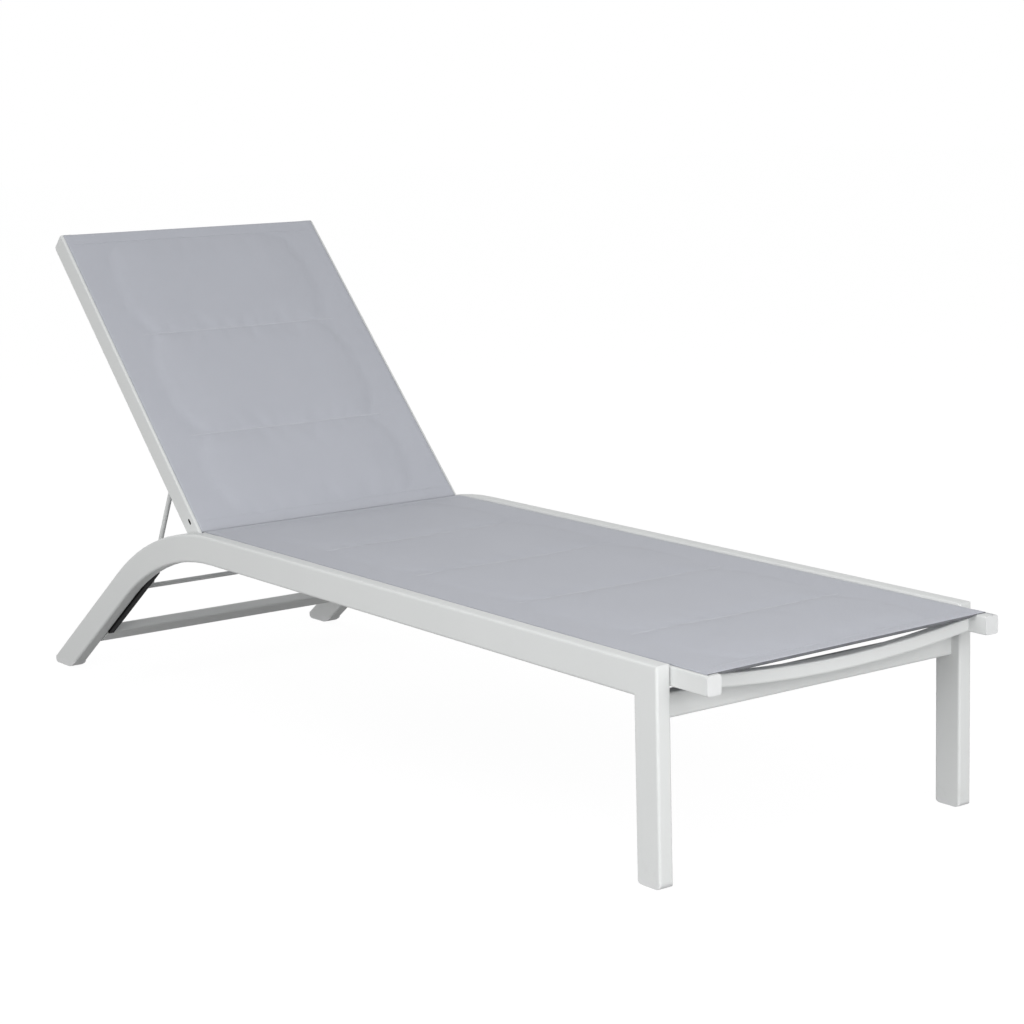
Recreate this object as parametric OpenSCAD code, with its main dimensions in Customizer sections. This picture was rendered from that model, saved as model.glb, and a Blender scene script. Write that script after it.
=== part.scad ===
// Sun lounger: two bent tube side frames carry a padded sling seat and a hinged sling
// backrest, which a swinging prop holds in five notches.
// Frame: X across, +Y toward the head, +Z up. The origin is on the floor, at the middle
// of the overall length and width. Left is -X, as seen from the foot end.

/* [Side frames] */
// Outer width over both side frames
frame_w = 612; // [540:1:700]
// Thickness of the frame tube across the lounger
tube_t = 25; // [20:0.5:30]
// Depth of the frame tube, seen from the side
tube_h = 50; // [44:0.5:54]
// Wall of the frame tube
tube_wall = 1.6; // [1.2:0.1:2.5]
// Radius along the long edges of the frame tube
tube_r = 4; // [2:0.5:6]
// Height of the side rail's top at the foot end
rail_top = 315; // [300:1:340]
// Rise of the side rail toward the head, in degrees
rail_rise = 0.8; // [0:0.1:1.2]
// From the backrest's pivot to where the lines of rail and rear leg meet
bend_past_pivot = 100; // [90:1:115]
// Slope of the rear leg, in degrees
leg_slope = 36; // [34:0.5:38]
// Middle radius of the bend between rail and rear leg
bend_r = 572; // [450:2:600]
// Height of the plastic foot under each front leg
front_foot_h = 10; // [6:0.5:12]
// Height of the plastic foot under each rear leg
rear_foot_h = 12; // [8:0.5:14]

/* [Crossbars] */
// Depth of the apron between the front legs
apron_d = 25; // [18:0.5:30]
// Height of the apron
apron_h = 36; // [25:1:45]
// Gap between the seat rails' undersides and the apron
apron_drop = 14; // [0:0.5:20]
// From the front face of the legs to the apron
apron_set = 17.5; // [10:0.5:19]
// Width of the crossbar between the rear legs, along the leg
crossbar_w = 40; // [30:1:45]
// Thickness of the crossbar between the rear legs
crossbar_t = 18; // [14:0.5:24]
// Gap along the leg between a rack's lower end and the crossbar
crossbar_gap = 1.5; // [1:0.5:16]
// Wall of the crossbars and spreader bars
bar_wall = 1.5; // [1.2:0.1:2.2]

/* [Seat] */
// From the front legs' front face to the backrest's pivot
pivot_y = 1300; // [1200:5:1340]
// Reach of the seat rails past the front legs, caps included
seat_reach = 75; // [60:1:90]
// Width of the seat rail across the lounger
seat_rail_w = 25; // [22:0.5:30]
// Height of the seat rail
seat_rail_h = 28; // [26:0.5:34]
// Wall of the seat and backrest rails
rail_wall = 2; // [1.5:0.1:2.5]
// Depth of the seat rail's top below the side rail's top
seat_drop = 4; // [2:0.5:8]
// Thickness of the plastic caps' outer plates
cap_t = 3; // [2:0.5:5]
// From the seat rail's front end to the middle of the foot spreader
foot_spreader_set = 45; // [20:1:55]
// Height of the bowed spreader bars
spreader_h = 20; // [12:0.5:22]
// Depth of the bowed spreader bars
spreader_d = 20; // [14:0.5:24]
// Bow of the spreader bars at mid width
spreader_bow = 16; // [8:0.5:20]

/* [Backrest] */
// Angle of the backrest at rest, above level, in degrees
back_angle = 46.5; // [44:0.5:49]
// Length of the backrest rail past its pivot, cap included
back_len = 710; // [600:1:760]
// Width of the backrest rail across the lounger
back_rail_w = 25; // [22:0.5:30]
// Depth of the backrest rail, seen from the side
back_rail_h = 38; // [32:0.5:42]
// Length of the backrest rail before its pivot
back_tail = 10; // [9:0.5:14]
// Gap between a backrest rail and its side frame
side_gap = 1; // [0.8:0.1:2]
// Gap between the seat rail's end and the turning backrest rail
hinge_gap = 1.5; // [1:0.1:4]
// Radius of the backrest's pivot bolts
pivot_r = 4; // [3:0.25:5]

/* [Slings] */
// Thickness of the bare sling fabric over the rails
sling_t = 1.6; // [1:0.1:2.5]
// Rise of the padding above the bare fabric
pad_rise = 5; // [3:0.5:8]
// Depth of the padding below the rail's top
pad_sink = 6; // [4:0.5:8]
// From the sling's side edge to the padding
pad_inset = 72; // [60:1:90]
// From the rail's outer face to the sling's side edge
sling_set = 5.5; // [3:0.5:6]
// Sag of the sling at mid width
sling_sag = 3; // [0:0.5:5]
// Thickness of the padding where a channel is sewn across it
channel_t = 3; // [2:0.5:4]
// Radius of the rod in the sling's side hem
keder_r = 2.5; // [2:0.25:3]

/* [Prop] */
// Radius of the prop's rod
rod_r = 4.5; // [4:0.25:5]
// From the backrest's pivot to the prop's pivot
prop_s = 184; // [178:1:190]
// Radius of the bend between a prop arm and its pin
prop_bend_r = 7; // [6.5:0.5:9]
// Distance along the rear leg from the bend's corner to the top notch
notch_s = 185; // [175:1:195]
// Depth of the cross rod's middle below the rear leg's middle line
notch_drop = 13; // [11:0.5:15]
// Number of notches in a rack
notch_count = 5; // [4:1:6]
// Depth of a notch below the tooth tips
notch_depth = 7; // [6:0.5:9]
// Width of a rack's toothed part across the lounger
rack_w = 8; // [6:0.5:12]
// Thickness of a rack's plate against the leg
rack_plate_t = 3; // [2.5:0.1:4]
// Length of a rack above its top notch
rack_lead = 78; // [40:1:90]
// Length of a rack below its lowest notch
rack_margin = 4; // [3:0.5:12]

/* [Hidden] */
$fn = 48;

// Colours
frame_paint = [0.86, 0.865, 0.87];
fabric = [0.63, 0.65, 0.69];
black_plastic = [0.07, 0.07, 0.075];
pale_plastic = [0.78, 0.79, 0.8];
steel = [0.6, 0.61, 0.62];

// Shared small sizes: overrun of cuts, loose fit, running fit
over = 2;
loose = 0.1;
run_gap = 0.05;

// Steps round a corner, along the side frame's bend and along a bowed bar, and the
// sides of small fastenings, grooves and hem rods, and of the prop's bent rods
corner_steps = 3;
bar_corner_steps = 2;
bend_steps = 12;
bow_steps = 9;
small_sides = 10;
rod_sides = 16;
rod_bend_steps = 6;

// Across the lounger
half_w = frame_w / 2;
inner_x = half_w - tube_t;
seat_in_x = inner_x - seat_rail_w;
back_out_x = inner_x - side_gap;
back_in_x = back_out_x - back_rail_w;

// The bend: middle lines of rail and rear leg, and the arc between them
bend_y = pivot_y + bend_past_pivot;
bend_z = rail_top + bend_y * tan(rail_rise) - tube_h / 2 / cos(rail_rise);
turn = leg_slope + rail_rise;
tangent = bend_r * tan(turn / 2);
leg_run = bend_z / sin(leg_slope);

// The mitre between rail and front leg
mitre_drop = tube_h / cos(rail_rise) - tube_h * tan(rail_rise);
mitre_angle = atan2(mitre_drop, tube_h);

// Middle of the bend's arc
arc_y = bend_y - tangent * cos(rail_rise) + bend_r * sin(rail_rise);
arc_z = bend_z - tangent * sin(rail_rise) - bend_r * cos(rail_rise);

// Rear foot, where the leg is cut level
leg_cut_half = tube_h / 2 / sin(leg_slope);
leg_cut_y = bend_y + (bend_z - rear_foot_h) / tan(leg_slope);
rear_foot_end = leg_cut_y + leg_cut_half;
mid_y = (rear_foot_end - seat_reach) / 2;

// The backrest's pivot, on the rail's slope and with the rails' tops flush when flat
pivot_depth = seat_drop + back_rail_h / 2;
pivot_run = (pivot_y - pivot_depth * sin(rail_rise)) / cos(rail_rise);
pivot_z = rail_top + pivot_run * sin(rail_rise) - pivot_depth * cos(rail_rise);
tail_sweep = norm([back_tail, back_rail_h / 2]);
seat_end = pivot_run - tail_sweep - hinge_gap;

// Seat rail fastenings, as shares of the rail's run from the front legs
bolt_shares = [0.12, 0.48, 0.86];
bolt_r = 3;
bolt_head_r = 5.5;
bolt_head_t = 2.5;
nut_r = 5;
nut_l = 9;

// Pivot fittings
bush_wall = 2.5;
bush_flange_r = 11;
bush_flange_t = 0.7;
pivot_head_r = 7;
pivot_head_t = 4;
head_gap = 0.3;

// Spreader bars
spreader_r = 3;
middle_share = 0.46;
hinge_spreader_set = 78;
back_low_set = 34;
back_top_set = 30;

// Keder grooves and hems
groove_gap = 0.3;
groove_in = 6.5;
neck_t = 1.5;
neck_gap = 0.4;
seat_end_set = 6;
back_end_set = 2;
stop_s = 40;
stop_w = 5.5;
stop_h = 12;
stop_z = 5;

// Caps
plug_l = 12;
plug_gap = 0.1;
cap_r = 4;

// Sewn channels, as shares of a sling's length, and rows and columns of its surface
seat_seam_shares = [0.1826, 0.3834, 0.5843, 0.7851];
back_seam_shares = [0.299, 0.64];
channel_w = 9;
pad_edge = 26;
pad_draw = 7;
column_shares = [0, 0.3, 0.85, 1];
middle_columns = 4;

// Prop, on the backrest's line, its arms coated and its pins bare, and the notch that
// its cross rod rests over
arm_top_gap = 10;
arm_low_gap = 16;
rod_end_gap = 1;
tip_gap = 0.5;
prop_flange_r = 9;
pin_l = 20;
weld_gap = 0.05;
coat_t = 0.15;
rack_floor = 3;
rack_plate_top = 16;
notch_half = 6.5;
tooth_land = 4;
ramp_share = 0.4;
rack_screw_r = 2;
rack_screw_t = 11;
rack_head_r = 3.8;
rack_head_t = 1.8;
rack_screw_shares = [0.08, 0.5, 0.92];
prop_y = pivot_y + prop_s * cos(back_angle);
prop_z = pivot_z + prop_s * sin(back_angle);
notch_y = bend_y + notch_s * cos(leg_slope) - notch_drop * sin(leg_slope);
notch_z = bend_z - notch_s * sin(leg_slope) - notch_drop * cos(leg_slope);
arm_l = norm([notch_y - prop_y, notch_z - prop_z]);
arm_angle = atan2(notch_z - prop_z, notch_y - prop_y);
arm_top_x = back_in_x - arm_top_gap - rod_r;
arm_low_x = inner_x - rack_plate_t - rack_w - arm_low_gap - rod_r;
arm_splay = atan2(arm_low_x - arm_top_x, arm_l);
rod_end_x = inner_x - rack_plate_t - rod_end_gap;
tip_level = -notch_drop - rod_r - tip_gap;
root_level = tip_level - notch_depth;
rack_base = root_level - rack_floor;

// Travel of the cross rod along the leg when the backrest is laid level with the seat
back_travel = back_angle - rail_rise;
flat_y = pivot_y + prop_s * cos(rail_rise) - notch_y;
flat_z = pivot_z + prop_s * sin(rail_rise) - notch_z;
flat_along = flat_y * cos(leg_slope) - flat_z * sin(leg_slope);
flat_off = flat_y * sin(leg_slope) + flat_z * cos(leg_slope);
flat_travel = flat_along + sqrt(arm_l * arm_l - flat_off * flat_off);
notch_pitch = flat_travel / (notch_count - 1);
rack_start = notch_s - rack_lead - notch_half;
rack_end = notch_s + flat_travel + rack_margin + notch_half;
crossbar_s = rack_end + crossbar_gap;

// Turn of the prop on the backrest over the whole travel, for the coupled joint
flat_arm_angle = atan2(
    -flat_travel * sin(leg_slope) - flat_z,
    flat_travel * cos(leg_slope) - flat_y
);
prop_travel = flat_arm_angle - arm_angle + back_travel;
echo(pivot = [pivot_y - mid_y, pivot_z], prop_pivot = [prop_y - mid_y, prop_z]);
echo(back_travel = back_travel, prop_travel = prop_travel, ratio = prop_travel / back_travel);

// Placing

// Moves what is drawn from the front legs' face to the origin at mid length
module in_place() {
    translate([0, -mid_y, 0]) children();
}

// Mirrors a right-hand piece to its side
module on_side(side) {
    mirror([side < 0 ? 1 : 0, 0, 0]) children();
}

// Lays a flat outline in the plane of Y and Z, extruded along X
module side_on() {
    rotate([90, 0, 90]) children();
}

// Puts children on the side rail's top line: Y along the rail, Z square to it
module on_rail() {
    translate([0, 0, rail_top]) rotate([rail_rise, 0, 0]) children();
}

// Puts children on the rear leg's middle line, from the bend's corner down the leg
module on_leg() {
    translate([0, bend_y, bend_z]) rotate([-leg_slope, 0, 0]) children();
}

// Puts children on the backrest at rest: Y up the rail, Z out of its front
module on_back() {
    translate([0, pivot_y, pivot_z]) rotate([back_angle, 0, 0]) children();
}

// Puts children on the prop at rest: Y down the arm from its pivot
module on_prop() {
    translate([0, prop_y, prop_z]) rotate([arm_angle, 0, 0]) children();
}

// Shapes

// Points of a rectangle with rounded corners
function round_rect(w, h, r, steps = corner_steps) = [
    for (q = [0:3]) for (i = [0:steps])
        let (a = 90 * (q + i / steps), sx = (q == 0 || q == 3) ? 1 : -1)
            [sx * (w / 2 - r) + r * cos(a), (q < 2 ? 1 : -1) * (h / 2 - r) + r * sin(a)]
];

// Points of a tube's inside
function inner_rect(w, h, r, wall, steps = corner_steps) =
    round_rect(w - 2 * wall, h - 2 * wall, max(r - wall, wall / 2), steps);

// Points of a plug that fits inside the frame tube
function plug_rect(w, h) = inner_rect(w, h, tube_r, tube_wall + plug_gap);

// Section of a hollow tube
module tube_section(w, h, r, wall) {
    difference() {
        polygon(round_rect(w, h, r));
        polygon(inner_rect(w, h, r, wall));
    }
}

// Extrudes a section along +Y: its first axis is height, its second lies across
module along_y(length) {
    rotate([0, -90, -90]) linear_extrude(length) children();
}

// Points of a section carried along stations. A station is a middle point in the plane
// of Y and Z, and the direction there of the section's height.
function carried(stations, section) = [
    for (s = stations) for (p = section) [p[1], s[0] + p[0] * s[2], s[1] + p[0] * s[3]]
];

// A hollow tube through stations, as one closed skin
module carried_tube(stations, outer, inner) {
    m = len(outer);
    n = len(stations);
    points = concat(carried(stations, outer), carried(stations, inner));
    inside = n * m;
    last = inside - m;
    faces = concat(
        [for (j = [0:n - 2]) for (i = [0:m - 1])
            let (a = j * m + i, b = j * m + (i + 1) % m)
                each [[a, a + m, b + m], [a, b + m, b]]],
        [for (j = [0:n - 2]) for (i = [0:m - 1])
            let (a = inside + j * m + i, b = inside + j * m + (i + 1) % m)
                each [[a, b + m, a + m], [a, b, b + m]]],
        [for (i = [0:m - 1]) let (b = (i + 1) % m)
            each [[i, b, inside + b], [i, inside + b, inside + i]]],
        [for (i = [0:m - 1]) let (a = last + i, b = last + (i + 1) % m)
            each [[a, inside + b, b], [a, inside + a, inside + b]]]
    );
    polyhedron(points, faces);
}

// A solid bar through stations, as one closed skin
module carried_bar(stations, outer) {
    m = len(outer);
    last = (len(stations) - 1) * m;
    faces = concat(
        [for (j = [0:len(stations) - 2]) for (i = [0:m - 1])
            let (a = j * m + i, b = j * m + (i + 1) % m)
                each [[a, a + m, b + m], [a, b + m, b]]],
        [for (i = [1:m - 2]) each [[0, i, i + 1], [last, last + i + 1, last + i]]]
    );
    polyhedron(carried(stations, outer), faces);
}

// Points of a rod's round section
function rod_section(r) = [
    for (i = [0:rod_sides - 1]) let (a = 360 * i / rod_sides) [r * cos(a), r * sin(a)]
];

// A round bar along X
module bar_x(r, x0, x1) {
    translate([x0, 0, 0]) rotate([0, 90, 0]) cylinder(r = r, h = x1 - x0);
}

// A small bar along X with flat sides, and one that clears it
module small_bar_x(r, x0, x1) {
    translate([x0, 0, 0]) rotate([0, 90, 0]) cylinder(r = r, h = x1 - x0, $fn = small_sides);
}

// A block from one corner to the other
module block(low, high) {
    translate(low) cube(high - low);
}

// Frame

// Stations of the side frame: the mitre, the bend and the level cut above the foot
function frame_stations() = concat(
    [[tube_h / 2, rail_top - mitre_drop / 2, -1, mitre_drop / tube_h]],
    [for (i = [0:bend_steps]) let (a = turn * i / bend_steps - rail_rise)
        [arc_y + bend_r * sin(a), arc_z + bend_r * cos(a), sin(a), cos(a)]],
    [[leg_cut_y, rear_foot_h, 1 / sin(leg_slope), 0]]
);

// Side frame: rail, bend and rear leg in one bent tube
module side_frame(side) {
    color(frame_paint) in_place() on_side(side) difference() {
        translate([half_w - tube_t / 2, 0, 0])
            carried_tube(frame_stations(), round_rect(tube_h, tube_t, tube_r),
                inner_rect(tube_h, tube_t, tube_r, tube_wall));
        bolt_places() small_bar_x(bolt_r + loose, inner_x - over, inner_x + tube_wall + over);
        on_pivot() bar_x(pivot_r + loose, inner_x - over, inner_x + tube_wall + over);
        screw_places() small_bar_x(rack_screw_r + loose, inner_x - over, inner_x + tube_wall + over);
    }
}

// Everything above the mitre plane
module above_mitre() {
    translate([0, 0, rail_top]) rotate([-mitre_angle, 0, 0])
        block([0, -2 * tube_h, 0], [frame_w, 2 * tube_h, 2 * tube_h]);
}

// Front leg, mitred to the rail
module front_leg(side) {
    color(frame_paint) in_place() on_side(side) difference() {
        translate([half_w - tube_t / 2, tube_h / 2, front_foot_h])
            linear_extrude(rail_top - front_foot_h + over)
                tube_section(tube_t, tube_h, tube_r, tube_wall);
        above_mitre();
    }
}

// A foot's cap with a tube's rounded section, from X = 0 and Y = 0 up. Its front leans
// back by a run, from its top down to the floor.
module foot_cap(length, height, lean) {
    intersection() {
        side_on() linear_extrude(tube_t) foot_outline(length, height, lean);
        translate([tube_t / 2, length / 2, 0])
            linear_extrude(height) polygon(round_rect(tube_t, length, tube_r));
    }
}

// Outline of a foot's side, with round lower corners
module foot_outline(length, height, lean) {
    polygon([
        for (i = [0:2 * corner_steps]) let (t = i / corner_steps / 2)
            [2 * t * (1 - t) * lean + t * t * (lean + height), height * (1 - t) * (1 - t)],
        for (i = [0:2 * corner_steps]) let (a = 270 + 45 * i / corner_steps)
            [length - height + height * cos(a), height + height * sin(a)]
    ]);
}

// Plastic foot of a front leg, with its plug inside the tube
module front_foot(side) {
    color(pale_plastic) in_place() on_side(side) {
        translate([inner_x, 0, 0]) foot_cap(tube_h, front_foot_h, 0);
        translate([half_w - tube_t / 2, tube_h / 2, front_foot_h])
            linear_extrude(plug_l) polygon(plug_rect(tube_t, tube_h));
    }
}

// Plastic foot of a rear leg, with its plug cut to the sloping tube
module rear_foot(side) {
    color(pale_plastic) in_place() on_side(side) {
        translate([inner_x, leg_cut_y - leg_cut_half, 0])
            foot_cap(2 * leg_cut_half, rear_foot_h, rear_foot_h / tan(leg_slope));
        intersection() {
            on_leg() translate([half_w - tube_t / 2, 0, 0])
                along_y(leg_run) polygon(plug_rect(tube_h, tube_t));
            block([0, 0, rear_foot_h], [half_w, 2 * bend_y, rear_foot_h + plug_l]);
        }
    }
}

// Apron between the front legs, a little below the seat rails
module front_apron() {
    rail_foot = (seat_drop + seat_rail_h) / cos(rail_rise);
    top = rail_top + apron_set * tan(rail_rise) - rail_foot - apron_drop;
    color(frame_paint) in_place()
        translate([-inner_x, apron_set + apron_d / 2, top - apron_h / 2])
            side_on() linear_extrude(2 * inner_x) tube_section(apron_d, apron_h, tube_r, bar_wall);
}

// Crossbar between the rear legs, flush with their undersides
module rear_crossbar() {
    color(frame_paint) in_place() on_leg()
        translate([-inner_x, crossbar_s + crossbar_w / 2, (crossbar_t - tube_h) / 2])
            side_on() linear_extrude(2 * inner_x)
                tube_section(crossbar_w, crossbar_t, tube_r, bar_wall);
}

// Seat

// Section of a sling rail: height first, then width, groove toward the outer side
module rail_section(h, w) {
    groove_x = w / 2 - groove_in;
    groove_y = h / 2 - neck_depth();
    difference() {
        polygon(round_rect(h, w, cap_r / 2));
        difference() {
            square([h - 2 * rail_wall, w - 2 * rail_wall], center = true);
            translate([groove_y, groove_x]) circle(groove_r() + rail_wall, $fn = small_sides);
            translate([groove_y, groove_x - groove_r() - rail_wall])
                square([h, 2 * (groove_r() + rail_wall)]);
        }
        translate([groove_y, groove_x]) circle(groove_r(), $fn = small_sides);
        translate([groove_y, groove_x - neck_t / 2 - neck_gap]) square([h, neck_t + 2 * neck_gap]);
    }
}

// Radius of a keder groove, and depth of its middle below the rail's top
function groove_r() = keder_r + groove_gap;
function neck_depth() = groove_r() + rail_wall;

// Seat rail
module seat_rail(side) {
    color(frame_paint) in_place() on_side(side) difference() {
        on_rail()
            translate([inner_x - seat_rail_w / 2, cap_t - seat_reach, -seat_drop - seat_rail_h / 2])
            along_y(seat_reach + seat_end - 2 * cap_t) rail_section(seat_rail_h, seat_rail_w);
        bolt_places() small_bar_x(bolt_r + loose, seat_in_x - over, inner_x + over);
    }
}

// Cap on a rail's end: a plate with rounded edges and a plug, facing +Y from its plane
module rail_cap(h, w) {
    along_y(cap_t) polygon(round_rect(h, w, cap_r));
    low_h = h - 2 * rail_wall - 2 * groove_r() - 2 * rail_wall - plug_gap;
    translate([0, -plug_l, rail_wall + plug_gap - h / 2])
        translate([-w / 2 + rail_wall + plug_gap, 0, 0])
            cube([w - 2 * rail_wall - 2 * plug_gap, plug_l, low_h]);
}

// Front cap of a seat rail
module seat_front_cap(side) {
    color(pale_plastic) in_place() on_side(side) on_rail()
        translate([inner_x - seat_rail_w / 2, cap_t - seat_reach, -seat_drop - seat_rail_h / 2])
            mirror([0, 1, 0]) rail_cap(seat_rail_h, seat_rail_w);
}

// Rear cap of a seat rail, at the hinge
module seat_rear_cap(side) {
    color(pale_plastic) in_place() on_side(side) on_rail()
        translate([inner_x - seat_rail_w / 2, seat_end - cap_t, -seat_drop - seat_rail_h / 2])
            rail_cap(seat_rail_h, seat_rail_w);
}

// Stations of a bowed bar, from one rail's inner face to the other's
function bow_stations(reach) = let (
    radius = (reach * reach + spreader_bow * spreader_bow) / 2 / spreader_bow,
    sweep = asin(reach / radius)
) [
    for (i = [0:bow_steps])
        let (a = sweep * (2 * i / bow_steps - 1), end = i == 0 || i == bow_steps)
            [radius * sin(a), radius * (1 - cos(a)) - spreader_bow,
                end ? 0 : -sin(a), end ? 1 / cos(a) : cos(a)]
];

// Bowed bar between two rails, its middle dropping toward -Z
module bowed_bar(reach) {
    rotate([0, 0, -90])
        carried_tube(bow_stations(reach),
            round_rect(spreader_h, spreader_d, spreader_r, bar_corner_steps),
            inner_rect(spreader_h, spreader_d, spreader_r, bar_wall, bar_corner_steps));
}

// Bowed bar between the seat rails at a place along them, flush with their undersides
module seat_spreader(y) {
    color(frame_paint) in_place() on_rail()
        translate([0, y, spreader_h / 2 - seat_drop - seat_rail_h]) bowed_bar(seat_in_x);
}

// Places of the bolts that hold a seat rail to its side frame
module bolt_places() {
    for (share = bolt_shares)
        on_rail() translate([0, share * seat_end, -seat_drop - seat_rail_h / 2 - bolt_r]) children();
}

// Bolts through the seat rails into the side frames
module seat_rail_bolts() {
    color(steel) in_place() for (side = [-1, 1]) on_side(side) bolt_places() {
        small_bar_x(bolt_r, seat_in_x - run_gap, inner_x + nut_l);
        small_bar_x(bolt_head_r, seat_in_x - bolt_head_t, seat_in_x);
    }
}

// Rivet nuts inside the side frames
module seat_rail_nuts() {
    color(steel) in_place() for (side = [-1, 1]) on_side(side) bolt_places() difference() {
        small_bar_x(nut_r, inner_x + tube_wall, inner_x + tube_wall + nut_l);
        small_bar_x(bolt_r + run_gap, inner_x, inner_x + tube_wall + nut_l + over);
    }
}

// Slings

// Fullness of the padding along a sling: 0 at each seam and end, 1 between them
function panel_edges(length, shares) = concat([0], [for (s = shares) s * length], [length]);
function rows_of(edges) = [
    for (i = [0:len(edges) - 2]) let (a = edges[i], b = edges[i + 1])
        each [a, a + channel_w, a + 3 * channel_w, (a + b) / 2, b - 3 * channel_w, b - channel_w],
    edges[len(edges) - 1]
];
function fullness(k) = [0, 0.62, 0.93, 1, 0.93, 0.62][k % 6];

// Columns of a sling, from its left edge to its right edge
function half_columns(half) = [
    for (s = column_shares) -half + s * pad_inset,
    -half + pad_inset + pad_edge
];
function columns_of(half) = let (left = half_columns(half), inner = half - pad_inset - pad_edge) concat(
    left,
    [for (i = [1:middle_columns - 1]) inner * (2 * i / middle_columns - 1)],
    [for (i = [len(left) - 1:-1:0]) -left[i]]
);

// Share of the padding's thickness at a column, drawn in where the row is thin
function pad_share(x, half, full) =
    let (edge = half - pad_inset + pad_draw * full, t = (edge - abs(x)) / pad_edge)
        t <= 0 ? 0 : t >= 1 ? 1 : t * (2 - t);
function sag_at(x, half) = sling_sag * max(0, 1 - pow(abs(x) / (half - sling_set - seat_rail_w), 2));

// Padded sling, its bare edges lying on Z = 0 over the rails
module sling(half, length, shares) {
    edges = panel_edges(length, shares);
    rows = rows_of(edges);
    columns = columns_of(half);
    n = len(columns);
    m = len(rows);
    top = [
        for (j = [0:m - 1]) for (x = columns)
            let (f = fullness(j), p = pad_share(x, half, f), bare = channel_t - sling_t)
                [x, rows[j], sling_t - sag_at(x, half) + p * (f * pad_rise + (1 - f) * bare / 2)]
    ];
    under = [
        for (j = [0:m - 1]) for (x = columns)
            let (f = fullness(j), p = pad_share(x, half, f), bare = channel_t - sling_t)
                [x, rows[j], -sag_at(x, half) - p * (f * pad_sink + (1 - f) * bare / 2)]
    ];
    base = m * n;
    faces = concat(
        [for (j = [0:m - 2]) for (i = [0:n - 2]) let (a = j * n + i)
            each [[a, a + n, a + n + 1], [a, a + n + 1, a + 1]]],
        [for (j = [0:m - 2]) for (i = [0:n - 2]) let (a = base + j * n + i)
            each [[a, a + n + 1, a + n], [a, a + 1, a + n + 1]]],
        [for (i = [0:n - 2]) each [[i, i + 1, base + i + 1], [i, base + i + 1, base + i]]],
        [for (i = [0:n - 2]) let (a = (m - 1) * n + i)
            each [[a, base + a + 1, a + 1], [a, base + a, base + a + 1]]],
        [for (j = [0:m - 2]) let (a = j * n)
            each [[a, base + a, base + a + n], [a, base + a + n, a + n]]],
        [for (j = [0:m - 2]) let (a = j * n + n - 1)
            each [[a, base + a + n, base + a], [a, a + n, base + a + n]]]
    );
    polyhedron(concat(top, under), faces);
}

// Padded sling of the seat
module seat_sling() {
    color(fabric) in_place() on_rail()
        translate([0, seat_end_set - seat_reach, -seat_drop])
            sling(inner_x - sling_set, seat_reach + seat_end - seat_end_set, seat_seam_shares);
}

// Padded sling of the backrest
module back_sling() {
    color(fabric) in_place() on_back() translate([0, back_tail / 2, back_rail_h / 2])
        sling(back_out_x - sling_set, back_len - back_tail / 2 - back_end_set, back_seam_shares);
}

// Rod and neck of a sling's side hem, in a rail of height h
module hem_rod(h, length) {
    drop = h / 2 - neck_depth();
    along_y(length) {
        translate([drop, 0]) circle(keder_r, $fn = small_sides);
        translate([drop, -neck_t / 2]) square([neck_depth(), neck_t]);
    }
}

// Hem rod of the seat sling
module seat_keder(side) {
    color(fabric) in_place() on_side(side) on_rail()
        translate([inner_x - groove_in, seat_end_set - seat_reach, -seat_drop - seat_rail_h / 2])
            hem_rod(seat_rail_h, seat_reach + seat_end - seat_end_set - cap_t - loose);
}

// Hem rod of the backrest sling
module back_keder(side) {
    color(fabric) in_place() on_side(side) on_back()
        translate([back_out_x - groove_in, back_tail / 2, 0])
            hem_rod(back_rail_h, back_len - back_tail / 2 - cap_t - loose);
}

// Backrest

// Children turn about the backrest's pivot, here at rest
module on_pivot() {
    translate([0, pivot_y, pivot_z]) children();
}

// Backrest rail
module back_rail(side) {
    bush_r = pivot_r + run_gap + bush_wall;
    color(frame_paint) in_place() on_side(side) difference() {
        on_back() translate([back_out_x - back_rail_w / 2, -back_tail, 0])
            along_y(back_tail + back_len - cap_t) rail_section(back_rail_h, back_rail_w);
        on_pivot() bar_x(bush_r, back_in_x - over, back_out_x + over);
        on_back() translate([0, prop_s, 0])
            bar_x(rod_r + run_gap + bush_wall, back_in_x - over, back_in_x + rail_wall + over);
        on_back() stop_shape(back_out_x - rail_wall - over, back_out_x + over);
    }
}

// Slot and plug that close the keder groove near the hinge
module stop_shape(x0, x1) {
    for (end = [-1, 1])
        translate([0, stop_s + end * (stop_h - stop_w) / 2, stop_z])
            small_bar_x(stop_w / 2, x0, x1);
    translate([0, 0, stop_z])
        block([x0, stop_s - (stop_h - stop_w) / 2, -stop_w / 2],
            [x1, stop_s + (stop_h - stop_w) / 2, stop_w / 2]);
}

// Black plugs in the slots of both backrest rails
module keder_stops() {
    color(black_plastic) in_place() for (side = [-1, 1]) on_side(side)
        on_back() stop_shape(back_out_x - rail_wall, back_out_x);
}

// Top cap of a backrest rail
module back_top_cap(side) {
    color(pale_plastic) in_place() on_side(side) on_back()
        translate([back_out_x - back_rail_w / 2, back_len - cap_t, 0])
            rail_cap(back_rail_h, back_rail_w);
}

// Lower cap of a backrest rail, rounded to the rail's sweep about the pivot
module back_low_cap(side) {
    reach = tail_sweep;
    color(pale_plastic) in_place() on_side(side) on_back() intersection() {
        bar_x(reach, back_in_x, back_out_x);
        block([back_in_x, -back_tail - 2 * cap_t, -reach], [back_out_x, -back_tail, reach]);
    }
}

// Bowed bar between the backrest rails at a place along them
module back_spreader(s) {
    color(frame_paint) in_place() on_back() translate([0, s, 0]) bowed_bar(back_in_x);
}

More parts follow.
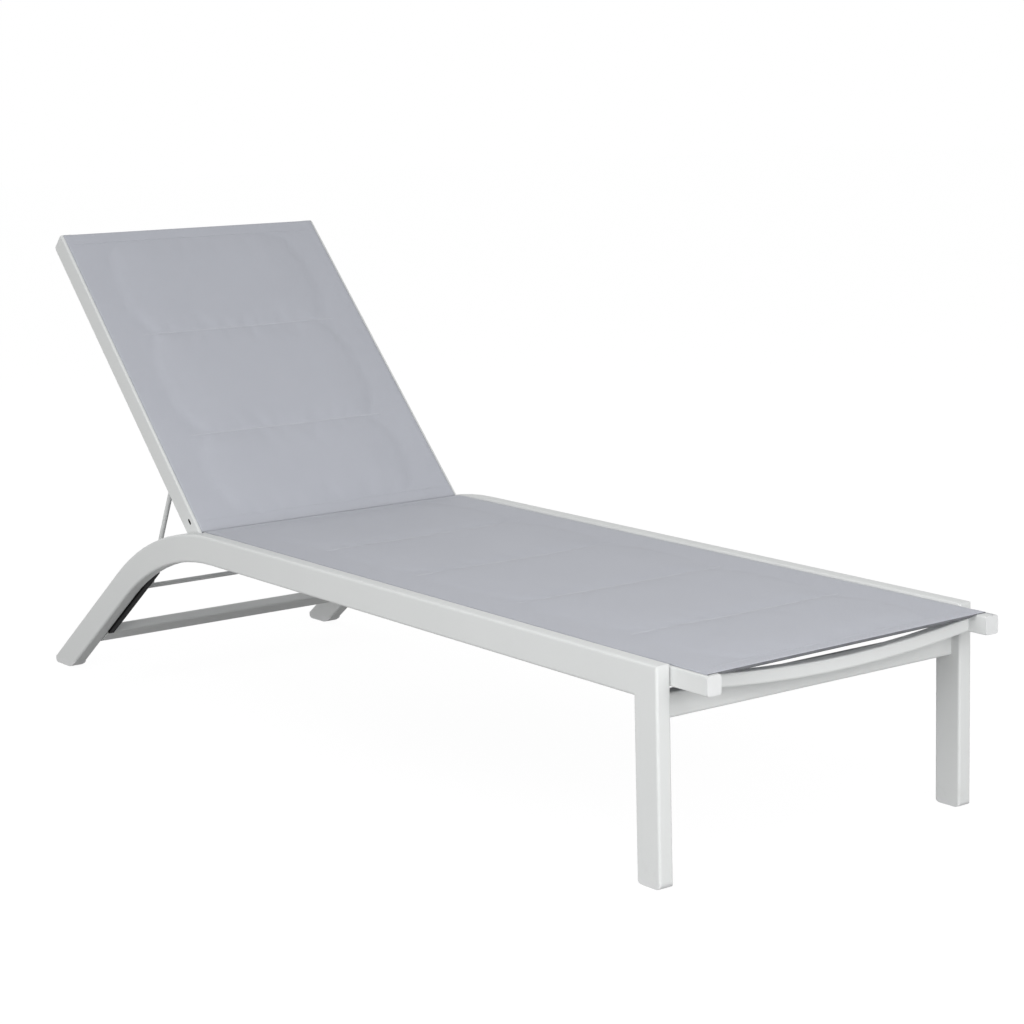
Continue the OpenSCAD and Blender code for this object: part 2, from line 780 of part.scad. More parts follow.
// Nylon bush of the pivot, with a flange against the side frame
module pivot_bush(side) {
    color(black_plastic) in_place() on_side(side) on_pivot() difference() {
        union() {
            bar_x(pivot_r + run_gap + bush_wall, back_in_x, back_out_x);
            small_bar_x(bush_flange_r, back_out_x, back_out_x + bush_flange_t);
        }
        bar_x(pivot_r + run_gap, back_in_x - over, inner_x + over);
    }
}

// Pivot bolt, from inside the backrest rail into the side frame
module pivot_bolt(side) {
    color(steel) in_place() on_side(side) on_pivot() {
        bar_x(pivot_r, back_in_x - head_gap, inner_x + tube_wall + nut_l);
        small_bar_x(pivot_head_r, back_in_x - head_gap - pivot_head_t, back_in_x - head_gap);
    }
}

// Rivet nut of the pivot bolt, inside the side frame
module pivot_nut(side) {
    color(steel) in_place() on_side(side) on_pivot() difference() {
        small_bar_x(pivot_r + bush_wall, inner_x + tube_wall, inner_x + tube_wall + nut_l);
        bar_x(pivot_r + run_gap, inner_x, inner_x + tube_wall + nut_l + over);
    }
}

// Prop

// Flanged bush that carries a prop arm's pin in the backrest rail
module prop_bush(side) {
    color(black_plastic) in_place() on_side(side) on_back() translate([0, prop_s, 0]) difference() {
        union() {
            bar_x(rod_r + run_gap + bush_wall, back_in_x, back_in_x + pin_l - over);
            small_bar_x(prop_flange_r, back_in_x - bush_flange_t, back_in_x);
        }
        bar_x(rod_r + run_gap, back_in_x - over, back_in_x + pin_l);
    }
}

// Stations of a prop arm from its pin: the bend, then straight to the cross rod
function arm_stations() = let (
    out = 90 + arm_splay,
    drop = prop_bend_r * (1 + sin(arm_splay)),
    bend_x = arm_top_x + drop / cos(arm_splay),
    run = (arm_l - rod_r / 2 - drop) / cos(arm_splay)
) concat(
    [[bend_x + over, 0, 0, -1]],
    [for (i = [0:rod_bend_steps]) let (a = out * i / rod_bend_steps)
        [bend_x - prop_bend_r * sin(a), prop_bend_r * (1 - cos(a)), -sin(a), -cos(a)]],
    [[bend_x - prop_bend_r * cos(arm_splay) + run * sin(arm_splay), arm_l - rod_r / 2,
        -cos(arm_splay), sin(arm_splay)]]
);

// Prop arm: a rod bent outward at the top to make its pin, and splayed toward the rack
module prop_arm(side) {
    stations = arm_stations();
    color(frame_paint) in_place() on_side(side) on_prop() difference() {
        union() {
            bar_x(rod_r, stations[1][0], back_in_x + pin_l - over);
            rotate([-90, -90, 0]) carried_bar(stations, rod_section(rod_r + coat_t));
        }
        translate([0, arm_l, 0]) bar_x(rod_r + weld_gap, 0, half_w);
    }
}

// Cross rod between the racks, welded to both arms
module prop_cross_rod() {
    color(frame_paint) in_place() on_prop()
        translate([0, arm_l, 0]) bar_x(rod_r, -rod_end_x, rod_end_x);
}

// Points of a rack's toothed edge, down the leg
function rack_teeth() = [
    for (i = [0:notch_count - 1]) let (s = notch_s + i * notch_pitch)
        each [
            [s - notch_half, i == 0 ? tip_level : root_level + ramp_share * notch_depth],
            [s - notch_half, root_level],
            [s + notch_half, root_level],
            [s + notch_half, tip_level],
            [s + notch_half + tooth_land, tip_level]
        ]
];

// Rack on the inner side of a rear leg
module rack(side) {
    edge = concat(
        [[rack_start, rack_base], [rack_start, tip_level]],
        rack_teeth(),
        [[rack_end, tip_level], [rack_end, rack_base]]
    );
    color(black_plastic) in_place() on_side(side) difference() {
        on_leg() {
            translate([inner_x - rack_plate_t - rack_w, 0, 0])
                side_on() linear_extrude(rack_w) polygon(edge);
            block([inner_x - rack_plate_t, rack_start, rack_base], [inner_x, rack_end, rack_plate_top]);
        }
        screw_places() small_bar_x(rack_screw_r + loose, inner_x - rack_plate_t - over, inner_x + over);
    }
}

// Places of the rack's screws
module screw_places() {
    for (share = rack_screw_shares)
        on_leg() translate([0, rack_start + share * (rack_end - rack_start), rack_screw_t]) children();
}

// Screws that hold both racks
module rack_screws() {
    color(steel) in_place() for (side = [-1, 1]) on_side(side) screw_places() {
        small_bar_x(rack_screw_r, inner_x - rack_plate_t, inner_x + tube_wall + nut_l);
        small_bar_x(rack_head_r, inner_x - rack_plate_t - rack_head_t, inner_x - rack_plate_t);
    }
}

side_frame(-1);  // side_frame_left
side_frame(1);  // side_frame_right
front_leg(-1);  // front_leg_left
front_leg(1);  // front_leg_right
front_foot(-1);  // front_foot_left
front_foot(1);  // front_foot_right
rear_foot(-1);  // rear_foot_left
rear_foot(1);  // rear_foot_right
front_apron();
rear_crossbar();
seat_rail(-1);  // seat_rail_left
seat_rail(1);  // seat_rail_right
seat_front_cap(-1);  // seat_front_cap_left
seat_front_cap(1);  // seat_front_cap_right
seat_rear_cap(-1);  // seat_rear_cap_left
seat_rear_cap(1);  // seat_rear_cap_right
seat_spreader(foot_spreader_set - seat_reach);  // foot_spreader
seat_spreader(middle_share * seat_end);  // middle_spreader
seat_spreader(pivot_run - hinge_spreader_set);  // hinge_spreader
seat_sling();
seat_keder(-1);  // seat_keder_left
seat_keder(1);  // seat_keder_right
seat_rail_bolts();
seat_rail_nuts();
pivot_bolt(-1);  // pivot_bolt_left
pivot_bolt(1);  // pivot_bolt_right
pivot_nut(-1);  // pivot_nut_left
pivot_nut(1);  // pivot_nut_right
pivot_bush(-1);  // pivot_bush_left
pivot_bush(1);  // pivot_bush_right
back_rail(-1);  // back_rail_left
back_rail(1);  // back_rail_right
back_top_cap(-1);  // back_top_cap_left
back_top_cap(1);  // back_top_cap_right
back_low_cap(-1);  // back_low_cap_left
back_low_cap(1);  // back_low_cap_right
back_spreader(back_len - back_top_set);  // back_top_spreader
back_spreader(back_low_set);  // back_low_spreader
back_sling();
back_keder(-1);  // back_keder_left
back_keder(1);  // back_keder_right
keder_stops();
prop_bush(-1);  // prop_bush_left
prop_bush(1);  // prop_bush_right
prop_arm(-1);  // prop_arm_left
prop_arm(1);  // prop_arm_right
prop_cross_rod();
rack(-1);  // rack_left
rack(1);  // rack_right
rack_screws();
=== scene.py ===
"""Looks of the sun lounger, in metres, in the part's own frame.

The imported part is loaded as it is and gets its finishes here. The padded slings are
made anew: a quilted grid for each, swelled by a short cloth simulation, with hems and
stitching. A plain pale studio and the camera come last.
"""

import logging
import math
from collections.abc import Iterable, Sequence
from dataclasses import dataclass, field
from enum import Enum

import bpy
import numpy as np
from mathutils import Matrix, Vector


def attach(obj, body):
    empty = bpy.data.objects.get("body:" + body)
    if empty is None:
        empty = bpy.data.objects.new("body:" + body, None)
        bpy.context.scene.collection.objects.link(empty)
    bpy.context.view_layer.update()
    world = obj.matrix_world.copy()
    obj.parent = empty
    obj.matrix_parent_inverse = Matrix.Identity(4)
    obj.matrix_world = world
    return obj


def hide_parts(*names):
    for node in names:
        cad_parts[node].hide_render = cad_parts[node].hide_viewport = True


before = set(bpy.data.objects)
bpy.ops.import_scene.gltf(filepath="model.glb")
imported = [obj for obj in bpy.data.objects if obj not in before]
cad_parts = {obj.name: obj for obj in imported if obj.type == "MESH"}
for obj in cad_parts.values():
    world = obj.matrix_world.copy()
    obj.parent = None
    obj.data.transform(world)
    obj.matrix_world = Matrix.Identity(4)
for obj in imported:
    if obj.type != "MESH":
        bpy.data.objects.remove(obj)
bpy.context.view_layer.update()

log = logging.getLogger("lounger")

Colour = tuple[float, float, float]
Point = tuple[float, float, float]

WHITE = (1.0, 1.0, 1.0, 1.0)
# Under this length two places are the same one
TINY = 1e-9
# Under this share of the full padding the fabric is bare, and the rails hold it
BARE = 0.04
GATHER_SEED = 11
STITCH_SEED = 5


class Body(Enum):
    """The bodies that the part is made of."""

    FRAME = "frame"
    BACKREST = "backrest"
    PROP = "prop"


class Slot(Enum):
    """The record's material slots."""

    PAINT = "frame_paint"
    FABRIC = "sling_fabric"
    HEM = "hem_rod"
    PALE = "pale_plastic"
    BLACK = "black_plastic"
    STEEL = "steel"


class Wire:
    """A shader socket that takes part in arithmetic.

    Each operator adds the Math node that works it out, so that a finish is written as
    an expression.
    """

    def __init__(self, graph: "Graph", socket: bpy.types.NodeSocket) -> None:
        """Wraps an output socket.

        Args:
            graph: The graph that the socket belongs to.
            socket: The output socket.
        """
        self.graph = graph
        self.socket = socket

    def _math(self, operation: str, *values: "Wire | float") -> "Wire":
        """Adds one Math node.

        Args:
            operation: The Math node's operation.
            *values: Its inputs, in order.

        Returns:
            The node's result.
        """
        inputs = dict(enumerate(values))
        return self.graph.node("ShaderNodeMath", {"operation": operation}, inputs)

    def __add__(self, other: "Wire | float") -> "Wire":
        """Sum."""
        return self._math("ADD", self, other)

    def __radd__(self, other: float) -> "Wire":
        """Sum with a number on the left."""
        return self._math("ADD", other, self)

    def __sub__(self, other: "Wire | float") -> "Wire":
        """Difference."""
        return self._math("SUBTRACT", self, other)

    def __rsub__(self, other: float) -> "Wire":
        """Difference from a number on the left."""
        return self._math("SUBTRACT", other, self)

    def __mul__(self, other: "Wire | float") -> "Wire":
        """Product."""
        return self._math("MULTIPLY", self, other)

    def __rmul__(self, other: float) -> "Wire":
        """Product with a number on the left."""
        return self._math("MULTIPLY", other, self)

    def __truediv__(self, other: "Wire | float") -> "Wire":
        """Quotient."""
        return self._math("DIVIDE", self, other)

    def __rtruediv__(self, other: float) -> "Wire":
        """Quotient of a number on the left."""
        return self._math("DIVIDE", other, self)

    def __pow__(self, other: float) -> "Wire":
        """Power."""
        return self._math("POWER", self, other)

    def __mod__(self, other: float) -> "Wire":
        """Remainder that is never negative."""
        return self._math("FLOORED_MODULO", self, other)

    def fraction(self) -> "Wire":
        """The part after the decimal point."""
        return self._math("FRACT", self)

    def floor(self) -> "Wire":
        """The whole number below."""
        return self._math("FLOOR", self)

    def sine(self) -> "Wire":
        """Sine of an angle in radians."""
        return self._math("SINE", self)

    def larger(self, other: "Wire | float") -> "Wire":
        """The larger of two values."""
        return self._math("MAXIMUM", self, other)

    def ramp(self, low: float, high: float) -> "Wire":
        """Rises smoothly from 0 to 1.

        Args:
            low: Where the result is 0.
            high: Where the result is 1.

        Returns:
            The smooth step.
        """
        return self.graph.node(
            "ShaderNodeMapRange",
            {"interpolation_type": "SMOOTHSTEP"},
            {"Value": self, "From Min": low, "From Max": high},
        )

    def around(self, middle: float, reach: float) -> "Wire":
        """Spreads 0 to 1 evenly around a value."""
        return (middle - reach) + self * (2 * reach)


class Graph:
    """The node tree of one material, or of the sky."""

    def __init__(self, owner: bpy.types.Material | bpy.types.World) -> None:
        """Empties a tree.

        Args:
            owner: What the tree belongs to.
        """
        owner.use_nodes = True
        self.owner = owner
        self.tree = owner.node_tree
        self.tree.nodes.clear()

    def add(
        self,
        kind: str,
        settings: dict[str, object] | None = None,
        sockets: dict[str | int, object] | None = None,
    ) -> bpy.types.Node:
        """Adds a node.

        Args:
            kind: The node's type name.
            settings: Its own settings, set first.
            sockets: Values or links of its inputs, by name or number.

        Returns:
            The node.
        """
        made = self.tree.nodes.new(kind)
        for key, value in (settings or {}).items():
            setattr(made, key, value)
        for key, value in (sockets or {}).items():
            if isinstance(value, Wire):
                self.tree.links.new(value.socket, made.inputs[key])
            else:
                made.inputs[key].default_value = value
        return made

    def node(
        self,
        kind: str,
        settings: dict[str, object] | None = None,
        sockets: dict[str | int, object] | None = None,
        output: int | str = 0,
    ) -> Wire:
        """Adds a node that hands on one of its outputs.

        Args:
            kind: The node's type name.
            settings: Its own settings, set first.
            sockets: Values or links of its inputs, by name or number.
            output: Which output is handed on.

        Returns:
            That output.
        """
        return Wire(self, self.add(kind, settings, sockets).outputs[output])

    def place(self) -> Wire:
        """Where a point lies in its own object."""
        return self.node("ShaderNodeTexCoord", output="Object")

    def along(self, vector: Wire) -> tuple[Wire, Wire, Wire]:
        """The three parts of a vector.

        Args:
            vector: The vector.

        Returns:
            Its X, Y and Z.
        """
        x, y, z = self.add("ShaderNodeSeparateXYZ", None, {0: vector}).outputs
        return Wire(self, x), Wire(self, y), Wire(self, z)

    def noise(self, place: Wire, scale: float, detail: float = 2.0, rough: float = 0.5) -> Wire:
        """Soft noise from 0 to 1.

        Args:
            place: Where it is read.
            scale: How many spots there are to the metre.
            detail: Finer layers.
            rough: Weight of the finer layers.

        Returns:
            The noise.
        """
        sockets = {"Vector": place, "Scale": scale, "Detail": detail, "Roughness": rough}
        return self.node("ShaderNodeTexNoise", None, sockets, "Fac")

    def stretched(self, place: Wire, factors: Point) -> Wire:
        """Scales a place by its own factor along each axis."""
        return self.node("ShaderNodeVectorMath", {"operation": "MULTIPLY"}, {0: place, 1: factors})

    def cells(self, place: Wire, scale: float) -> Wire:
        """Distance to the nearest of many scattered points."""
        return self.node("ShaderNodeTexVoronoi", None, {"Vector": place, "Scale": scale})

    def blend(self, share: Wire | float, first: "Wire | Colour", second: "Wire | Colour") -> Wire:
        """Mixes two colours.

        Args:
            share: 0 for the first colour, 1 for the second.
            first: The first colour.
            second: The second colour.

        Returns:
            The mixed colour.
        """
        ends = [c if isinstance(c, Wire) else (*c, 1.0) for c in (first, second)]
        sockets = {0: share, 6: ends[0], 7: ends[1]}
        return self.node("ShaderNodeMix", {"data_type": "RGBA"}, sockets, 2)

    def bump(self, height: Wire, depth: float, strength: float = 1.0) -> Wire:
        """Turns a height from 0 to 1 into a normal.

        Args:
            height: The height.
            depth: Metres from 0 to 1.
            strength: How much of it shows.

        Returns:
            The normal.
        """
        sockets = {"Height": height, "Distance": depth, "Strength": strength}
        return self.node("ShaderNodeBump", None, sockets)

    def close(self, sockets: dict[str | int, object]) -> bpy.types.Material:
        """Ends the tree in one shader.

        Args:
            sockets: Values and links of the Principled shader.

        Returns:
            The finished material.
        """
        return self.end(self.node("ShaderNodeBsdfPrincipled", None, sockets))

    def end(self, shader: Wire) -> bpy.types.Material:
        """Ends a material's tree in a shader.

        Args:
            shader: The shader.

        Returns:
            The finished material.
        """
        self.add("ShaderNodeOutputMaterial", None, {"Surface": shader})
        return self.owner

    def shown_white(self) -> Wire:
        """1 for rays that see the studio as plain white, and 0 for rays that light it."""
        outputs = self.add("ShaderNodeLightPath").outputs
        camera = Wire(self, outputs["Is Camera Ray"])
        glossy = Wire(self, outputs["Is Glossy Ray"])
        clear = Wire(self, outputs["Is Transmission Ray"])
        return camera.larger(glossy).larger(clear)


def new_finish(name: str) -> Graph:
    """An empty material's tree."""
    return Graph(bpy.data.materials.new(name))


def shade(colour: Colour, factor: float) -> Colour:
    """A colour made darker or lighter.

    Args:
        colour: The colour.
        factor: Below 1 for darker, above 1 for lighter.

    Returns:
        The new colour.
    """
    red, green, blue = colour
    return (red * factor, green * factor, blue * factor)


@dataclass(frozen=True)
class PowderCoat:
    """Satin powder coat on the metal tubes: fine orange peel, faint clouds and floor scuffs."""

    name: str = "powder_coat"
    colour: Colour = (0.66, 0.672, 0.668)
    scuff: Colour = (0.42, 0.41, 0.39)
    roughness: float = 0.48
    shine: float = 0.34
    cloud_scale: float = 7.0
    peel_scale: float = 620.0
    grain_scale: float = 2600.0
    speck_scale: float = 950.0
    rub_scale: float = 60.0
    rub_height: tuple[float, float] = (0.004, 0.06)
    rub_share: float = 0.12
    speck_share: float = 0.08
    peel_depth: float = 0.00012

    def build(self) -> bpy.types.Material:
        """Builds the finish."""
        g = new_finish(self.name)
        place = g.place()
        _, _, height = g.along(place)
        cloud = g.noise(place, self.cloud_scale, 3.0)
        peel = g.noise(place, self.peel_scale, 1.0)
        grain = g.noise(place, self.grain_scale, 2.0)
        speck = g.noise(place, self.speck_scale, 0.0).ramp(0.70, 0.76)
        rub = g.noise(place, self.rub_scale, 4.0, 0.65).ramp(0.52, 0.68)
        low = 1 - height.ramp(*self.rub_height)
        worn = rub * low * self.rub_share + speck * self.speck_share
        base = g.blend(cloud, shade(self.colour, 0.975), shade(self.colour, 1.025))
        return g.close(
            {
                "Base Color": g.blend(worn, base, self.scuff),
                "Roughness": cloud.around(self.roughness, 0.05) + worn * 0.2,
                "Normal": g.bump(peel * 0.75 + grain * 0.25, self.peel_depth, 0.5),
                "Specular IOR Level": self.shine,
            }
        )


@dataclass(frozen=True)
class MouldedPlastic:
    """Moulded plastic with a spark-eroded grain."""

    name: str
    colour: Colour
    roughness: float = 0.5
    shine: float = 0.4
    cloud_scale: float = 35.0
    pit_scale: float = 1500.0
    grain_scale: float = 4200.0
    pit_depth: float = 0.00005

    def build(self) -> bpy.types.Material:
        """Builds the finish."""
        g = new_finish(self.name)
        place = g.place()
        cloud = g.noise(place, self.cloud_scale, 3.0)
        pits = g.cells(place, self.pit_scale)
        grain = g.noise(place, self.grain_scale, 1.0)
        base = g.blend(cloud, shade(self.colour, 0.95), shade(self.colour, 1.05))
        return g.close(
            {
                "Base Color": g.blend(pits.ramp(0.75, 1.0) * 0.25, base, shade(self.colour, 0.8)),
                "Roughness": cloud.around(self.roughness, 0.06),
                "Normal": g.bump(pits * 0.7 + grain * 0.3, self.pit_depth, 0.6),
                "Specular IOR Level": self.shine,
            }
        )


@dataclass(frozen=True)
class PlatedSteel:
    """Zinc-plated steel: turned rings, clouding and small dull spots."""

    name: str = "plated_steel"
    colour: Colour = (0.60, 0.61, 0.62)
    roughness: float = 0.26
    cloud_scale: float = 140.0
    spot_scale: float = 420.0
    ring_turns: float = 9000.0
    ring_depth: float = 0.00004

    def build(self) -> bpy.types.Material:
        """Builds the finish."""
        g = new_finish(self.name)
        place = g.place()
        cloud = g.noise(place, self.cloud_scale, 4.0, 0.6)
        across, _, _ = g.along(place)
        rings = (across * self.ring_turns + cloud * 4.0).sine() * 0.5 + 0.5
        dull = g.noise(place, self.spot_scale, 3.0).ramp(0.52, 0.7)
        base = g.blend(cloud, shade(self.colour, 0.85), shade(self.colour, 1.1))
        return g.close(
            {
                "Base Color": g.blend(dull * 0.5, base, shade(self.colour, 0.62)),
                "Metallic": 1.0 - dull * 0.25,
                "Roughness": self.roughness + dull * 0.25 + cloud * 0.1,
                "Normal": g.bump(rings * 0.4 + cloud * 0.6, self.ring_depth, 0.5),
            }
        )


@dataclass(frozen=True)
class SlingWeave:
    """Coated mesh fabric: plain weave of two yarn colours, with small open gaps painted dark as
    shade.
    """

    name: str = "sling_weave"
    warp: Colour = (0.491, 0.505, 0.551)
    weft: Colour = (0.426, 0.44, 0.486)
    # Painted shade for the open gaps between the yarns; 1.9 times it is also the dark end of the
    # random tone.
    gap: Colour = (0.172, 0.178, 0.204)
    bleached: Colour = (0.6, 0.616, 0.664)
    pitch: float = 0.00135
    depth: float = 0.00028
    roughness: float = 0.62
    shine: float = 0.3
    cloud_scale: float = 9.0
    slub_scale: float = 420.0
    slub_stretch: Point = (1.0, 0.05, 1.0)
    fade: float = 0.16

    def build(self) -> bpy.types.Material:
        """Builds the finish."""
        g = new_finish(self.name)
        place = g.place()
        across, along, _ = g.along(place)
        u = across / self.pitch
        v = along / self.pitch
        over = (u.floor() + v.floor()) % 2.0
        crown_u = 1 - (u.fraction() * 2 - 1) ** 2.0
        crown_v = 1 - (v.fraction() * 2 - 1) ** 2.0
        warp_height = crown_u * (0.5 + 0.5 * crown_v)
        weft_height = crown_v * (0.5 + 0.5 * crown_u)
        height = over * warp_height + (1 - over) * weft_height
        # Where the yarns leave open gaps: painted dark as the shade that falls in them, and
        # rougher.
        gap_shade = ((1 - crown_u) * (1 - crown_v)).ramp(0.18, 0.75)
        cloud = g.noise(place, self.cloud_scale, 3.0)
        slub = g.noise(g.stretched(place, self.slub_stretch), self.slub_scale, 1.0)
        yarn = g.blend(over, self.weft, self.warp)
        tone = g.blend(cloud * 0.6 + slub * 0.4, shade(self.gap, 1.9), self.bleached)
        body = g.blend(self.fade, yarn, tone)
        return g.close(
            {
                "Base Color": g.blend(gap_shade * 0.85, body, self.gap),
                "Roughness": self.roughness + gap_shade * 0.2 + slub * 0.06,
                "Normal": g.bump(height, self.depth, 0.55),
                "Specular IOR Level": self.shine,
                "Sheen Weight": 0.08,
                "Sheen Roughness": 0.5,
            }
        )


@dataclass(frozen=True)
class SewingThread:
    """Bonded thread: two plies that wind round each other."""

    name: str = "sewing_thread"
    # Lighter than the fabric: partly the thread's own colour, partly painted highlight for the
    # glint along the channels' lit side.
    colour: Colour = (0.64, 0.65, 0.68)
    roughness: float = 0.55
    ply_turns: float = 5200.0
    fluff_scale: float = 900.0
    ply_depth: float = 0.00012

    def build(self) -> bpy.types.Material:
        """Builds the finish."""
        g = new_finish(self.name)
        place = g.place()
        across, along, _ = g.along(place)
        ply = ((across + along) * self.ply_turns).sine() * 0.5 + 0.5
        fluff = g.noise(place, self.fluff_scale, 3.0)
        base = g.blend(fluff, shade(self.colour, 0.85), shade(self.colour, 1.12))
        return g.close(
            {
                "Base Color": g.blend(ply * 0.35, base, shade(self.colour, 0.7)),
                "Roughness": self.roughness + fluff * 0.2,
                "Normal": g.bump(ply, self.ply_depth, 0.6),
            }
        )


@dataclass(frozen=True)
class StudioWhite:
    """Pale ground that shows as white and keeps the object's shadow."""

    name: str = "studio_white"
    dark: Colour = (0.24, 0.24, 0.24)
    pale: Colour = (0.26, 0.26, 0.26)
    cloud_scale: float = 3.0
    keep: float = 0.35
    glow: float = 1.46

    def build(self) -> bpy.types.Material:
        """Builds the finish."""
        g = new_finish(self.name)
        cloud = g.noise(g.place(), self.cloud_scale, 2.0)
        colour = g.blend(cloud, self.dark, self.pale)
        matte = g.node("ShaderNodeBsdfDiffuse", None, {"Color": colour})
        white = g.node("ShaderNodeEmission", None, {"Color": WHITE, "Strength": self.glow})
        glowing = g.shown_white() * (1.0 - self.keep)
        return g.end(g.node("ShaderNodeMixShader", None, {0: glowing, 1: matte, 2: white}))


class Finishes:
    """The lounger's finishes, each built once."""

    def __init__(self) -> None:
        """Builds every finish."""
        self.made: dict[Slot, bpy.types.Material] = {
            Slot.PAINT: PowderCoat().build(),
            Slot.FABRIC: SlingWeave().build(),
            Slot.HEM: MouldedPlastic("hem_plastic", (0.36, 0.37, 0.41), 0.55).build(),
            Slot.PALE: MouldedPlastic("pale_caps", (0.66, 0.668, 0.67), 0.46).build(),
            Slot.BLACK: MouldedPlastic("black_nylon", (0.006, 0.006, 0.0065), 0.62, 0.07).build(),
            Slot.STEEL: PlatedSteel().build(),
        }
        # The channels' pale thread is partly its own colour, partly painted highlight along each
        # channel.
        self.channel_thread = SewingThread().build()
        self.hem_thread = SewingThread("hem_thread", (0.45, 0.462, 0.5)).build()
        # Painted shade: a dark copy of the weave for the slings' end faces, standing in for the
        # shade under each hem's edge.
        self.painted_hem_shade = SlingWeave(
            "painted_hem_shade",
            warp=(0.1, 0.103, 0.112),
            weft=(0.085, 0.088, 0.096),
            gap=(0.05, 0.052, 0.056),
        ).build()

    def dress(self, slot: Slot, *nodes: str) -> None:
        """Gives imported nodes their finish.

        Args:
            slot: Which finish they get.
            *nodes: The nodes' names.
        """
        for node in nodes:
            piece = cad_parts[node]
            for place in piece.material_slots:
                place.material = self.made[slot]
            if not piece.material_slots:
                piece.data.materials.append(self.made[slot])
            log.info("%s: %s", node, slot.value)


def new_piece(
    name: str,
    points: np.ndarray | Sequence[Point],
    faces: Iterable[Sequence[int]],
    material: bpy.types.Material,
    place: Matrix,
) -> bpy.types.Object:
    """Makes a smooth mesh object.

    Args:
        name: The object's name.
        points: Its points, in its own frame.
        faces: Its faces.
        material: Its finish.
        place: Where its own frame lies.

    Returns:
        The object.
    """
    mesh = bpy.data.meshes.new(name)
    mesh.from_pydata([tuple(map(float, p)) for p in points], [], [tuple(f) for f in faces])
    mesh.polygons.foreach_set("use_smooth", [True] * len(mesh.polygons))
    mesh.materials.append(material)
    mesh.update()
    made = bpy.data.objects.new(name, mesh)
    bpy.context.scene.collection.objects.link(made)
    made.matrix_world = place
    return made


@dataclass(frozen=True)
class Spacing:
    """Steps of a grid: fine at some lines, and coarse from a distance on."""

    fine: float
    coarse: float
    reach: float

    def places(self, lines: Sequence[float], end: float) -> np.ndarray:
        """Places from 0 to an end.

        Args:
            lines: Where the places crowd, 0 and the end among them.
            end: The last place.

        Returns:
            The places, with every line exactly among them.
        """
        places: list[float] = [0.0]
        stops = sorted(set(lines) | {end})
        for low, high in zip([0.0, *stops], stops):
            if high - low < TINY:
                continue
            run = [low]
            while run[-1] < high:
                near = min(abs(run[-1] - line) for line in lines)
                share = min(1.0, near / self.reach)
                run.append(run[-1] + self.fine + (self.coarse - self.fine) * share)
            scale = (high - low) / (run[-1] - low)
            places += [low + (at - low) * scale for at in run[1:]]
        return np.array(places)


def smooth_step(t: np.ndarray) -> np.ndarray:
    """Rises smoothly from 0 at 0 to 1 at 1.

    Args:
        t: Places on the step.

    Returns:
        The heights.
    """
    t = np.clip(t, 0, 1)
    return t * t * (3 - 2 * t)


@dataclass(frozen=True)
class Stitch:
    """One stitch: a short rounded thread that dips at both ends.

    Its profile gives, along the thread, the place as a share of the length, the
    thickness as a share of the radius, and the lift off the fabric.
    """

    length: float = 0.0036
    gap: float = 0.0012
    radius: float = 0.00042
    sides: int = 6
    lean: float = 0.06
    profile: tuple[Point, ...] = (
        (-0.5, 0.35, -0.00035),
        (-0.25, 1.0, 0.00018),
        (0.25, 1.0, 0.00018),
        (0.5, 0.35, -0.00035),
    )

    def faces(self, base: int) -> list[tuple[int, ...]]:
        """The thread's faces, its two ends closed.

        Args:
            base: Number of its first point.

        Returns:
            The faces.
        """
        made: list[tuple[int, ...]] = []
        for ring in range(len(self.profile) - 1):
            for s in range(self.sides):
                a = base + ring * self.sides + s
                b = base + ring * self.sides + (s + 1) % self.sides
                made.append((a, a + self.sides, b + self.sides, b))
        made.append(tuple(base + s for s in range(self.sides)))
        top = base + self.sides * (len(self.profile) - 1)
        made.append(tuple(top + self.sides - 1 - s for s in range(self.sides)))
        return made


@dataclass(frozen=True)
class Filling:
    """How the padding swells: the cloth's stiffness, its pressure and its time."""

    quality: int = 3
    mass: float = 0.25
    stretch: float = 18
    shear: float = 7
    bend: float = 0.8
    damping: float = 2.0
    pressure: float = 0.9
    slack: float = 0.004
    steps: int = 20

    def apply(self, cloth: bpy.types.ClothModifier, held: str) -> None:
        """Sets up a cloth.

        Args:
            cloth: The cloth.
            held: The vertex group that stays where it is.
        """
        settings = cloth.settings
        settings.quality = self.quality
        settings.mass = self.mass
        settings.tension_stiffness = settings.compression_stiffness = self.stretch
        settings.shear_stiffness = self.shear
        settings.bending_stiffness = self.bend
        settings.air_damping = self.damping
        settings.vertex_group_mass = held
        settings.use_pressure = True
        settings.uniform_pressure_force = self.pressure
        settings.shrink_min = -self.slack
        settings.effector_weights.gravity = 0.0
        cloth.collision_settings.use_collision = False
        cloth.point_cache.frame_start, cloth.point_cache.frame_end = 1, self.steps


